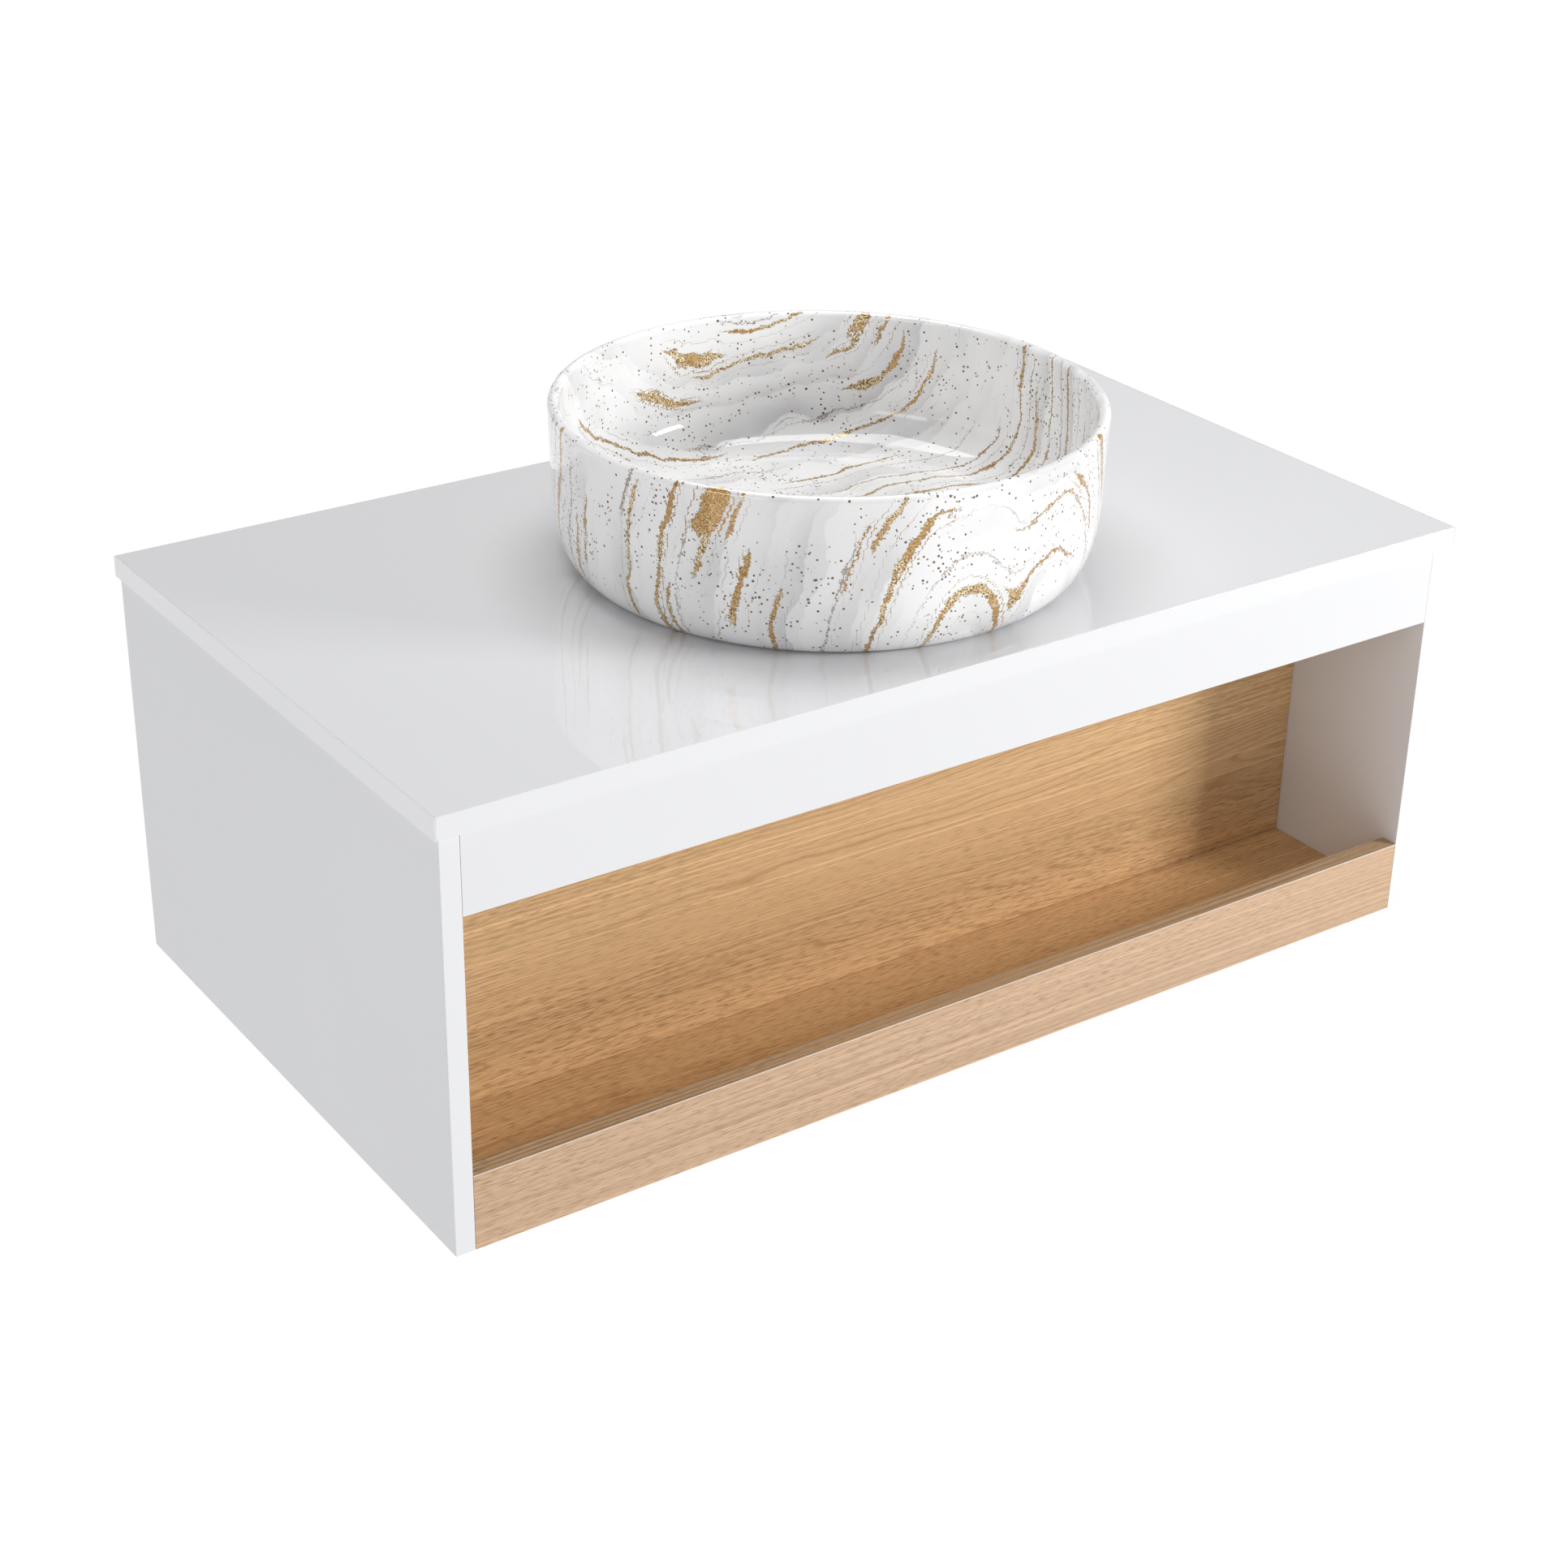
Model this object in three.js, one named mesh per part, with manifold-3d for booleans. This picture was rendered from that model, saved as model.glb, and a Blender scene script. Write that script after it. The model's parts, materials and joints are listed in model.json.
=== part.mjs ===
// A wall-hung washstand: a white cabinet with an open oak niche, a round vessel basin standing on its
// top, the basin's pop-up waste and bottle trap in the service space behind the niche, the cam fittings
// that pull the boards together, and the two adjustable hangers that hold the cabinet on a wall.
// Millimetres. +X is to the right seen from the front, +Y goes into the wall, +Z is up.
// The origin is the centre of the hanging rail's rear face, so y = 0 is the wall plane.

import * as THREE from "three";
import { mergeVertices } from "three/addons/utils/BufferGeometryUtils.js";
import Module from "manifold-3d";

const wasm = await Module();
wasm.setup();

// ---- Driving dimensions ---------------------------------------------------------------------------

const TOP = { width: 900, depth: 500, thickness: 16.5 };
const OVERHANG = { side: 4, front: 3 };
const BOARD = 15; // thickness of every cabinet board
const SIDE_HEIGHT = 320;
const FASCIA_HEIGHT = 61;
const LIP_HEIGHT = 60;
const NICHE_DEPTH = 135; // from the cabinet's front to the niche's oak back
const HANGING_RAIL_HEIGHT = 120;
const REAR_RAIL_HEIGHT = 60;
const BAND = 1; // thickness of the edge bands
const GLUE = 0.0625; // glue line between a band and its board
const SEAM = 0.25; // dry joint between two boards

// The basin's outside is a flat foot, a rounded corner, an upright wall at the waist and a fuller rim.
const BASIN = { radius: 207.5, waist: 205.4, foot: 181.5, corner: 54, height: 124, wall: 8.5 };
const BASIN_PLACE = { x: 4.5, y: -277 }; // the basin's axis
const BASIN_HOLE = 22.5; // radius of the outlet in the basin's floor
const TOP_HOLE = 23.5; // radius of the hole through the top
const WASTE = { flange: 31.5, tube: 20.5, bore: 17, below: 75 };
const TRAP = { tube: 16, wall: 2, head: 29, cup: 32, outletHeight: 150 };
const CLEARANCE = 0.4; // round pieces in their holes
const ROUND = 28; // sides of a turned piece
const SMALL_ROUND = 16; // sides of a screw or a small hole

// ---- Places worked out from them, with z = 0 at the cabinet's bottom edge -------------------------

const cabinet = {
  width: TOP.width - 2 * OVERHANG.side,
  front: OVERHANG.front - TOP.depth,
};
const halfInside = cabinet.width / 2 - BOARD;
const topUnderside = SIDE_HEIGHT;
const topFace = SIDE_HEIGHT + TOP.thickness;
const nicheBackFront = cabinet.front + NICHE_DEPTH;
const fasciaBottom = SIDE_HEIGHT - FASCIA_HEIGHT;
const railBottom = SIDE_HEIGHT - HANGING_RAIL_HEIGHT;
const originHeight = railBottom + HANGING_RAIL_HEIGHT / 2;
const boardEnd = halfInside - SEAM; // where a board stops short of a side panel
const bandInset = BAND + GLUE; // how far a banded board is set back
const sides = [["left", -1], ["right", 1]];

// ---- Materials ------------------------------------------------------------------------------------

function finish(color, roughness, metalness = 0) {
  return new THREE.MeshStandardMaterial({ color, roughness, metalness });
}

const whiteGloss = finish(0xf3f3f5, 0.12);
const whiteBand = finish(0xf7f7f9, 0.3);
const oak = finish(0xc99e6b, 0.55);
const ceramic = finish(0xf4f3f1, 0.06);
const chrome = finish(0xd8dadc, 0.08, 1);
const zinc = finish(0xb9bcc0, 0.35, 1);
const whitePlastic = finish(0xf0f0ec, 0.4);
const blackRubber = finish(0x1d1d1f, 0.8);

// ---- Solids ---------------------------------------------------------------------------------------

// Two numbers, the lower one first.
function span(a, b) {
  return a < b ? [a, b] : [b, a];
}

function solidOf(geometry) {
  const bare = geometry.clone();
  bare.deleteAttribute("normal");
  bare.deleteAttribute("uv");
  const merged = mergeVertices(bare, 1e-4);
  return new wasm.Manifold(
    new wasm.Mesh({
      numProp: 3,
      vertProperties: merged.attributes.position.array,
      triVerts: new Uint32Array(merged.index.array),
    }),
  );
}

function geometryOf(solid) {
  const { numProp, numVert, vertProperties, triVerts } = solid.getMesh();
  const points = new Float32Array(numVert * 3);
  for (let i = 0; i < numVert; i++) {
    points.set(vertProperties.subarray(i * numProp, i * numProp + 3), i * 3);
  }
  const geometry = new THREE.BufferGeometry();
  geometry.setAttribute("position", new THREE.BufferAttribute(points, 3));
  geometry.setIndex(new THREE.BufferAttribute(triVerts, 1));
  geometry.computeVertexNormals();
  return geometry;
}

function cut(geometry, ...cutters) {
  return geometryOf(cutters.reduce((body, c) => body.subtract(solidOf(c)), solidOf(geometry)));
}

function join(geometry, ...others) {
  return geometryOf(others.reduce((body, o) => body.add(solidOf(o)), solidOf(geometry)));
}

// A box between two corners.
function block(low, high) {
  const size = high.map((v, i) => v - low[i]);
  return new THREE.BoxGeometry(...size).translate(...high.map((v, i) => v - size[i] / 2));
}

// A cylinder along an axis ("x", "y" or "z") from one end's centre.
function rod(axis, start, length, radius, segments = SMALL_ROUND) {
  const geometry = new THREE.CylinderGeometry(radius, radius, length, segments).translate(0, length / 2, 0);
  if (axis === "x") geometry.rotateZ(-Math.PI / 2);
  if (axis === "z") geometry.rotateX(Math.PI / 2);
  return geometry.translate(...start);
}

// A solid of revolution about Z. Its profile is [radius, z] points, upwards along the outside, that
// start and end on the axis.
function turned(profile, segments) {
  const points = profile.map(([r, z]) => new THREE.Vector2(r, z));
  return new THREE.LatheGeometry(points, segments).rotateX(Math.PI / 2);
}

// The same for a piece with a hole along the axis, whose profile closes on itself.
function turnedRing(profile, segments) {
  return turned([...profile, profile[0]], segments);
}

// A tube about Z.
function ring(inner, outer, low, high, segments = ROUND) {
  return turnedRing([[inner, low], [outer, low], [outer, high], [inner, high]], segments);
}

// A flat outline in the YZ plane, extruded along X from x = low to x = high.
function profileAlongX(outline, low, high) {
  const shape = new THREE.Shape(outline.map(([y, z]) => new THREE.Vector2(y, z)));
  const extruded = new THREE.ExtrudeGeometry(shape, { depth: high - low, bevelEnabled: false });
  const yzToWorld = new THREE.Matrix4().makeBasis(
    new THREE.Vector3(0, 1, 0),
    new THREE.Vector3(0, 0, 1),
    new THREE.Vector3(1, 0, 0),
  );
  return extruded.applyMatrix4(yzToWorld).translate(low, 0, 0);
}

// ---- The scene graph ------------------------------------------------------------------------------

const vanity = new THREE.Group();
const body = new THREE.Group(); // measured from the cabinet's bottom edge
body.position.z = -originHeight;
vanity.add(body);

function add(parent, name, geometry, material, position = [0, 0, 0]) {
  const mesh = new THREE.Mesh(geometry, material);
  mesh.name = name;
  mesh.position.set(...position);
  parent.add(mesh);
  return mesh;
}

// ---- Boards ---------------------------------------------------------------------------------------

// Each board is listed by its finish, its corners and, once the fittings are placed, its cut-outs.
const boards = new Map();

function board(name, material, low, high) {
  boards.set(name, { material, low, high, cutters: [] });
}

function cutBoard(name, ...cutters) {
  boards.get(name).cutters.push(...cutters);
}

board("countertop", whiteGloss,
  [-TOP.width / 2 + bandInset, -TOP.depth + bandInset, topUnderside],
  [TOP.width / 2 - bandInset, 0, topFace]);
for (const [name, side] of sides) {
  const xs = span(side * halfInside, (side * cabinet.width) / 2);
  board(`${name}_side_panel`, whiteGloss,
    [xs[0], cabinet.front + bandInset, 0],
    [xs[1], 0, SIDE_HEIGHT - SEAM]);
}
board("front_fascia", whiteGloss,
  [-boardEnd, cabinet.front, fasciaBottom],
  [boardEnd, cabinet.front + BOARD, SIDE_HEIGHT - SEAM]);
board("niche_back_panel", oak,
  [-boardEnd, nicheBackFront, BOARD + SEAM],
  [boardEnd, nicheBackFront + BOARD, SIDE_HEIGHT - SEAM]);
board("niche_shelf", oak,
  [-boardEnd, cabinet.front + BOARD + SEAM, 0],
  [boardEnd, nicheBackFront + BOARD, BOARD]);
board("niche_front_lip", oak,
  [-boardEnd, cabinet.front, 0],
  [boardEnd, cabinet.front + BOARD, LIP_HEIGHT - bandInset]);
board("hanging_rail", whiteGloss,
  [-boardEnd, -BOARD, railBottom],
  [boardEnd, 0, SIDE_HEIGHT - SEAM]);
board("lower_rear_rail", whiteGloss,
  [-boardEnd, -BOARD, 0],
  [boardEnd, 0, REAR_RAIL_HEIGHT]);

cutBoard("countertop", rod("z", [BASIN_PLACE.x, BASIN_PLACE.y, topUnderside - 1], TOP.thickness + 2, TOP_HOLE, ROUND));

// ---- Edge bands -----------------------------------------------------------------------------------

function edgeBand(name, material, low, high) {
  const centre = low.map((v, i) => (v + high[i]) / 2);
  add(body, name, block(low, high).translate(...centre.map((v) => -v)), material, centre);
}

edgeBand("countertop_front_band", whiteBand,
  [-TOP.width / 2 + bandInset, -TOP.depth, topUnderside],
  [TOP.width / 2 - bandInset, -TOP.depth + BAND, topFace]);
for (const [name, side] of sides) {
  const topXs = span((side * TOP.width) / 2 - side * BAND, (side * TOP.width) / 2);
  edgeBand(`countertop_${name}_band`, whiteBand,
    [topXs[0], -TOP.depth, topUnderside],
    [topXs[1], 0, topFace]);
  const sideXs = span(side * halfInside, (side * cabinet.width) / 2);
  edgeBand(`${name}_side_front_band`, whiteBand,
    [sideXs[0], cabinet.front, 0],
    [sideXs[1], cabinet.front + BAND, SIDE_HEIGHT - SEAM]);
}
edgeBand("lip_top_band", oak,
  [-boardEnd, cabinet.front, LIP_HEIGHT - BAND],
  [boardEnd, cabinet.front + BOARD, LIP_HEIGHT]);

// ---- Cam fittings ---------------------------------------------------------------------------------

// A cam turns in a round pocket in one board's face and pulls on a bolt that is screwed into the next
// board. In the fitting's own frame the bolt runs along +X from the cam's centre, the pocket opens
// along +Z, and z = 0 is the middle of the board.
const CAM = { radius: 7.4, height: 11.5, toEdge: 24 };
const SLOT = { half: 5, halfWidth: 0.9, depth: 2.5 };
const BOLT = { head: 3.2, neck: 2, shank: 3.4, thread: 2.6, bite: 10.5 };
const BOLT_SIDES = 8;
const camTop = BOARD / 2 - SEAM;

function camGeometry() {
  const slotFloor = camTop - SLOT.depth;
  return cut(
    rod("z", [0, 0, camTop - CAM.height], CAM.height, CAM.radius),
    rod("x", [-BOLT.head - CLEARANCE, 0, 0], 3 * CAM.radius, BOLT.head + CLEARANCE, BOLT_SIDES),
    block([-SLOT.half, -SLOT.halfWidth, slotFloor], [SLOT.half, SLOT.halfWidth, camTop + 1]),
    block([-SLOT.halfWidth, -SLOT.half, slotFloor], [SLOT.halfWidth, SLOT.half, camTop + 1]),
  );
}

function boltGeometry() {
  const edge = CAM.toEdge;
  const profile = [
    [-BOLT.head, 0], [-2, 2.4], [0, BOLT.head], [2, 2.4], [3, BOLT.neck], [8, BOLT.neck], [8, BOLT.shank],
    [edge, BOLT.shank], [edge, BOLT.thread], [edge + BOLT.bite - 2, BOLT.thread], [edge + BOLT.bite, 0],
  ];
  return turned(profile.map(([x, r]) => [r, x]), BOLT_SIDES).rotateY(Math.PI / 2);
}

const camShape = camGeometry();
const boltShape = boltGeometry();

// Places one fitting: end is where the bolt crosses from one board into the next, at mid thickness.
function camFitting(name, end, along, opening, pocketBoard, threadBoard) {
  const x = new THREE.Vector3(...along);
  const z = new THREE.Vector3(...opening);
  const centre = new THREE.Vector3(...end).addScaledVector(x, -CAM.toEdge);
  const frame = new THREE.Matrix4().makeBasis(x, z.clone().cross(x), z).setPosition(centre);
  const fitting = new THREE.Group();
  fitting.applyMatrix4(frame);
  body.add(fitting);
  add(fitting, `${name}_cam`, camShape, zinc);
  add(fitting, `${name}_cam_bolt`, boltShape, zinc);
  const pocketFloor = camTop - CAM.height - CLEARANCE;
  const hole = (x, length, radius) => rod("x", [x, 0, 0], length, radius + CLEARANCE, BOLT_SIDES);
  cutBoard(pocketBoard,
    rod("z", [0, 0, pocketFloor], BOARD, CAM.radius + CLEARANCE).applyMatrix4(frame),
    hole(0, CAM.toEdge + 1, BOLT.shank).applyMatrix4(frame));
  cutBoard(threadBoard,
    hole(CAM.toEdge - 2, BOLT.bite + 2 + CLEARANCE, BOLT.thread).applyMatrix4(frame));
}

const fasciaMiddle = [cabinet.front + BOARD / 2, (fasciaBottom + SIDE_HEIGHT) / 2];
for (const [name, side] of sides) {
  const panel = `${name}_side_panel`;
  const outward = [side, 0, 0];
  const end = (y, z) => [side * halfInside, y, z];
  camFitting(`${name}_fascia`, end(...fasciaMiddle), outward, [0, 1, 0], "front_fascia", panel);
  camFitting(`${name}_niche_back`, end(nicheBackFront + BOARD / 2, SIDE_HEIGHT / 2), outward, [0, 1, 0],
    "niche_back_panel", panel);
  camFitting(`${name}_shelf`, end(cabinet.front + NICHE_DEPTH / 2, BOARD / 2), outward, [0, 0, -1],
    "niche_shelf", panel);
  camFitting(`${name}_hanging_rail`, end(-BOARD / 2, railBottom + BOARD), outward, [0, -1, 0],
    "hanging_rail", panel);
  camFitting(`${name}_rear_rail`, end(-BOARD / 2, REAR_RAIL_HEIGHT / 2), outward, [0, -1, 0],
    "lower_rear_rail", panel);
  camFitting(`${name}_top`, [side * (halfInside + BOARD / 2), -TOP.depth / 2, SIDE_HEIGHT], [0, 0, 1],
    [-side, 0, 0], panel, "countertop");
}

// ---- Adjustable hangers ---------------------------------------------------------------------------

// On each side a C-shaped bracket is fixed to the side panel, a captive upright screw turns in it, the
// hook rides on the screw's thread, and its tongue drops behind the lip of a plate on the wall.
// u is the distance in from the side panel's inner face.
const BRACKET = { thick: 2, reach: 26, front: -62, back: -17, low: 246, high: 314, holeInset: 8, hole: 2.5 };
const SCREW = { u: 15, y: -38, radius: 3, head: 5, headHeight: 4, collar: 4.5, collarHeight: 2 };
const SOCKET = { radius: 2, depth: 2.5 }; // the hexagon in the screw's head
const HOOK = { u: [8, 22], front: -47, throat: -30, low: 289, armLow: 291, high: 303 };
const TONGUE = { front: -5, back: -1.5, low: 277 };
const PLATE = { u: [4, 54], thick: 2.5, low: 242, bend: 265, holeInset: 10, hole: 2.75 };
const PLATE_LIP = { front: -8.5, back: -6 };
const NOTCH = { width: 58, low: 232 }; // room for the wall plate at each end of the hanging rail
const HOLE_SIDES = 12;

// A length of the height screw's axis, from one height up.
function upright(side, low, length, radius, segments) {
  return rod("z", [-side * SCREW.u, SCREW.y, low], length, radius, segments);
}

// Two distances from the side panel's inner face, as x in order.
function inwards(side, [u0, u1]) {
  return span(-side * u0, -side * u1);
}

function hangerBracket(side) {
  const { thick, reach, front, back, low, high } = BRACKET;
  const slab = (us, y0, y1, z0, z1) => {
    const xs = inwards(side, us);
    return block([xs[0], y0, z0], [xs[1], y1, z1]);
  };
  const fixings = [front + BRACKET.holeInset, back - BRACKET.holeInset];
  return cut(
    slab([SEAM, reach], front, back, low, high),
    slab([SEAM + thick, reach + 1], front - 1, back + 1, low + thick, high - thick),
    upright(side, low - 1, high - low + 2, SCREW.radius + CLEARANCE),
    ...fixings.map((y) => rod("x", [-reach, y, (low + high) / 2], 2 * reach, BRACKET.hole, HOLE_SIDES)),
  );
}

// The head is under the bracket and a collar is inside it, so the screw turns but can't rise or drop.
function heightScrew(side) {
  const headTop = BRACKET.low - CLEARANCE;
  const headBottom = headTop - SCREW.headHeight;
  const collar = BRACKET.low + BRACKET.thick + CLEARANCE;
  return cut(
    join(
      upright(side, headBottom, SCREW.headHeight, SCREW.head),
      upright(side, headTop - 1, BRACKET.high + 1 - headTop, SCREW.radius),
      upright(side, collar, SCREW.collarHeight, SCREW.collar),
    ),
    upright(side, headBottom - 1, SOCKET.depth + 1, SOCKET.radius, 6),
  );
}

function hangerHook(side) {
  const outline = [
    [HOOK.front, HOOK.low], [HOOK.throat, HOOK.low], [HOOK.throat, HOOK.armLow], [TONGUE.front, HOOK.armLow],
    [TONGUE.front, TONGUE.low], [TONGUE.back, TONGUE.low], [TONGUE.back, HOOK.high], [HOOK.front, HOOK.high],
  ];
  return cut(
    profileAlongX(outline, ...inwards(side, HOOK.u)),
    upright(side, HOOK.low - 1, HOOK.high - HOOK.low + 2, SCREW.radius + CLEARANCE),
  );
}

function wallPlate(side) {
  const { thick, low, bend } = PLATE;
  const lipTop = HOOK.armLow - SEAM;
  const outline = [
    [-thick, low], [0, low], [0, bend + thick], [PLATE_LIP.back, bend + thick], [PLATE_LIP.back, lipTop],
    [PLATE_LIP.front, lipTop], [PLATE_LIP.front, bend], [-thick, bend],
  ];
  const fixings = [PLATE.u[0] + PLATE.holeInset, PLATE.u[1] - PLATE.holeInset];
  const middle = (low + bend) / 2;
  return cut(
    profileAlongX(outline, ...inwards(side, PLATE.u)),
    ...fixings.map((u) => rod("y", [-side * u, -thick - 1, middle], thick + 2, PLATE.hole, HOLE_SIDES)),
  );
}

for (const [name, side] of sides) {
  const hanger = new THREE.Group();
  hanger.position.x = side * halfInside;
  body.add(hanger);
  add(hanger, `${name}_hanger_bracket`, hangerBracket(side), zinc);
  add(hanger, `${name}_height_screw`, heightScrew(side), zinc);
  add(hanger, `${name}_hanger_hook`, hangerHook(side), zinc);
  add(hanger, `${name}_wall_plate`, wallPlate(side), zinc);
  const notch = span(side * (boardEnd + 1), side * (halfInside - NOTCH.width));
  cutBoard("hanging_rail", block([notch[0], -BOARD - 1, NOTCH.low], [notch[1], 1, SIDE_HEIGHT + 1]));
}

// The boards can be cut now that every fitting has said where it goes.
for (const [name, { material, low, high, cutters }] of boards) {
  const centre = low.map((v, i) => (v + high[i]) / 2);
  const toCentre = centre.map((v) => -v);
  const blank = block(low, high).translate(...toCentre);
  add(body, name, cut(blank, ...cutters.map((c) => c.translate(...toCentre))), material, centre);
}

// ---- Vessel basin ---------------------------------------------------------------------------------

const basinGroup = new THREE.Group();
basinGroup.position.set(BASIN_PLACE.x, BASIN_PLACE.y, topFace);
body.add(basinGroup);

// Points of a quarter ellipse, from angle a0 to a1 in degrees, ends included.
function arc(cx, cz, rx, rz, a0, a1, steps) {
  return Array.from({ length: steps + 1 }, (_, i) => {
    const a = THREE.MathUtils.degToRad(a0 + ((a1 - a0) * i) / steps);
    return [cx + rx * Math.cos(a), cz + rz * Math.sin(a)];
  });
}

// The floor's heights: the foot's hollow, the gasket's ledge, the seat round it, and the floor's edge.
const FLOOR = { foot: 5, atHole: 12, seat: 14, seatRadius: 33, edge: 18, edgeRadius: 158 };
const FOOT_RING = { inner: 32, outer: 26 }; // how far the foot's hollow is inside the foot's radius
const CORNER_STEPS = 6;
const RIM_STEPS = 4;

function basinProfile() {
  const { radius, waist, foot, corner, height, wall } = BASIN;
  const rim = wall / 2;
  const floorCorner = { width: waist - wall - FLOOR.edgeRadius, height: corner - FLOOR.edge };
  return [
    [BASIN_HOLE, FLOOR.foot],
    [foot - FOOT_RING.inner, FLOOR.foot],
    [foot - FOOT_RING.outer, SEAM],
    ...arc(foot, corner + SEAM, waist - foot, corner, -90, 0, CORNER_STEPS),
    ...arc(radius - rim, height - rim, rim, rim, 0, 180, RIM_STEPS),
    ...arc(FLOOR.edgeRadius, corner, floorCorner.width, floorCorner.height, 0, -90, CORNER_STEPS),
    [FLOOR.seatRadius + 3, FLOOR.seat + 3],
    [FLOOR.seatRadius, FLOOR.seat],
    [FLOOR.seatRadius, FLOOR.atHole],
    [BASIN_HOLE, FLOOR.atHole],
  ];
}

add(basinGroup, "vessel_basin", turnedRing(basinProfile(), 48), ceramic);

// ---- Pop-up waste ---------------------------------------------------------------------------------

// Heights are from the basin's foot.
const GASKET = { seat: 1.5, seatRadius: 29, under: 4, underRadius: 31 };
const GUIDE = { radius: 7, bore: 4, low: -22, high: -8 };
const PLUG = { cap: 29.5, capEdge: 1.6, crown: 4.4, neck: 14, stemEnd: -26 };
const LOCK_NUT = { corner: 30, flange: 33, flangeHeight: 2.5, height: 11.75 };
const underTop = -TOP.thickness;
const wasteEnd = underTop - WASTE.below;
const gasketTop = FLOOR.atHole + GASKET.seat;
const flangeTop = gasketTop + SEAM + 2.5;
const lockNutTop = underTop - GASKET.under - SEAM;

// The body is one casting: a flange with a sloping seat, a threaded tube, and a bridge with a guide.
function wasteBody() {
  const { flange, tube, bore } = WASTE;
  const shell = turnedRing([
    [bore, wasteEnd], [tube, wasteEnd], [tube, gasketTop + SEAM], [flange, gasketTop + SEAM],
    [flange, flangeTop - 0.5], [flange - 0.8, flangeTop], [bore + 6, flangeTop - 1], [bore, flangeTop - 5],
  ], ROUND);
  const bridge = block([-bore - 1, -2, GUIDE.low + 4], [bore + 1, 2, GUIDE.high - 2]);
  const hub = rod("z", [0, 0, GUIDE.low], GUIDE.high - GUIDE.low, GUIDE.radius);
  const hole = rod("z", [0, 0, GUIDE.low - 1], GUIDE.high - GUIDE.low + 2, GUIDE.bore + CLEARANCE);
  return cut(join(shell, bridge, hub), hole);
}

// The plug's domed cap rests on the flange and its stem slides in the guide.
function wastePlug() {
  const { cap, capEdge, crown, neck, stemEnd } = PLUG;
  const low = flangeTop + 0.3;
  return turned([
    [0, stemEnd], [GUIDE.bore, stemEnd], [GUIDE.bore, low - 3], [neck - 1, low - 2], [neck, low], [cap, low],
    [cap, low + capEdge], [cap - 1, low + capEdge + 1], [20, low + crown - 0.8], [10, low + crown - 0.2],
    [0, low + crown],
  ], ROUND);
}

function lockNut() {
  const { corner, flange, flangeHeight, height } = LOCK_NUT;
  const hexagon = new THREE.CylinderGeometry(corner, corner, height, 6).rotateX(Math.PI / 2);
  return cut(
    join(
      hexagon.translate(0, 0, lockNutTop - height / 2),
      rod("z", [0, 0, lockNutTop - flangeHeight], flangeHeight, flange, ROUND),
    ),
    rod("z", [0, 0, lockNutTop - height - 1], height + 2, WASTE.tube + CLEARANCE, ROUND),
  );
}

const gasketBore = WASTE.tube + CLEARANCE;
add(basinGroup, "waste_seat_gasket",
  ring(gasketBore, GASKET.seatRadius, FLOOR.atHole + SEAM, gasketTop), blackRubber);
add(basinGroup, "waste_body", wasteBody(), chrome);
add(basinGroup, "waste_plug", wastePlug(), chrome);
add(basinGroup, "waste_under_gasket",
  ring(gasketBore, GASKET.underRadius, underTop - GASKET.under, underTop - SEAM), blackRubber);
add(basinGroup, "waste_lock_nut", lockNut(), chrome);

// ---- Bottle trap ----------------------------------------------------------------------------------

const trap = new THREE.Group();
trap.position.set(BASIN_PLACE.x, BASIN_PLACE.y, 0);
body.add(trap);

// Heights are from the cabinet's bottom edge, and the outlet runs along +Y from the trap's axis.
const INLET_NUT = { radius: 26, below: 12, above: 12, step: -2 };
const OUTLET_NUT = { radius: 24, below: 10, above: 8, step: 0.5 };
const WALL_FLANGE = { front: 24, back: 34, depth: 9 };
const NUT_RIBS = 8;
const outlet = TRAP.outletHeight;
const wall = -BASIN_PLACE.y; // from the trap's axis to the wall plane
const tubeBore = TRAP.tube - TRAP.wall;
const tubeTop = topFace + wasteEnd - SEAM;
const tubeFlange = { radius: TRAP.tube + 3, height: 1.5 };
const headTop = outlet + 26;
const headBottom = outlet - 28;
const cupFloor = outlet - 92;
const dipEnd = cupFloor + 24;
const spout = { radius: TRAP.tube + TRAP.wall + 1, end: TRAP.head + 24 };
const pipeStart = spout.end - 16;

// A coupling nut: a ribbed collar whose bore widens at a step. Heights are from where the pipes meet.
function couplingNut(nut, bottomBore, topBore) {
  const { radius, step } = nut;
  const low = -nut.below;
  const high = nut.above;
  const collar = turnedRing([
    [bottomBore, low], [radius - 1.5, low], [radius, low + 1.5], [radius, high - 1.5], [radius - 1.5, high],
    [topBore, high], [topBore, step], [bottomBore, step],
  ], ROUND);
  const ribs = Array.from({ length: NUT_RIBS }, (_, i) => {
    const rib = block([radius - 1, -1.5, low + 2], [radius + 1.2, 1.5, high - 2]);
    return rib.rotateZ((i * 2 * Math.PI) / NUT_RIBS);
  });
  return join(collar, ...ribs);
}

function inletTube() {
  return turnedRing([
    [tubeBore, dipEnd], [TRAP.tube, dipEnd], [TRAP.tube, tubeTop - tubeFlange.height],
    [tubeFlange.radius, tubeTop - tubeFlange.height], [tubeFlange.radius, tubeTop], [tubeBore, tubeTop],
  ], ROUND);
}

// The head holds the inlet tube at its top, opens into the cup below, and has the outlet on its side.
function trapHead() {
  const { head, tube } = TRAP;
  const bore = tube + CLEARANCE;
  const outer = turnedRing([
    [bore, headTop - 8], [head - 3, headTop - 8], [head - 3, headBottom], [head, headBottom],
    [head, headTop - 2], [head - 8, headTop + 8], [tube + 6, headTop + 8], [bore, headTop + 2],
  ], ROUND);
  const branch = rod("y", [0, head - 2, outlet], spout.end - head + 2, spout.radius, ROUND);
  const passage = rod("y", [0, tube + 6, outlet], spout.end, bore, ROUND);
  return cut(join(outer, branch), passage);
}

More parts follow.
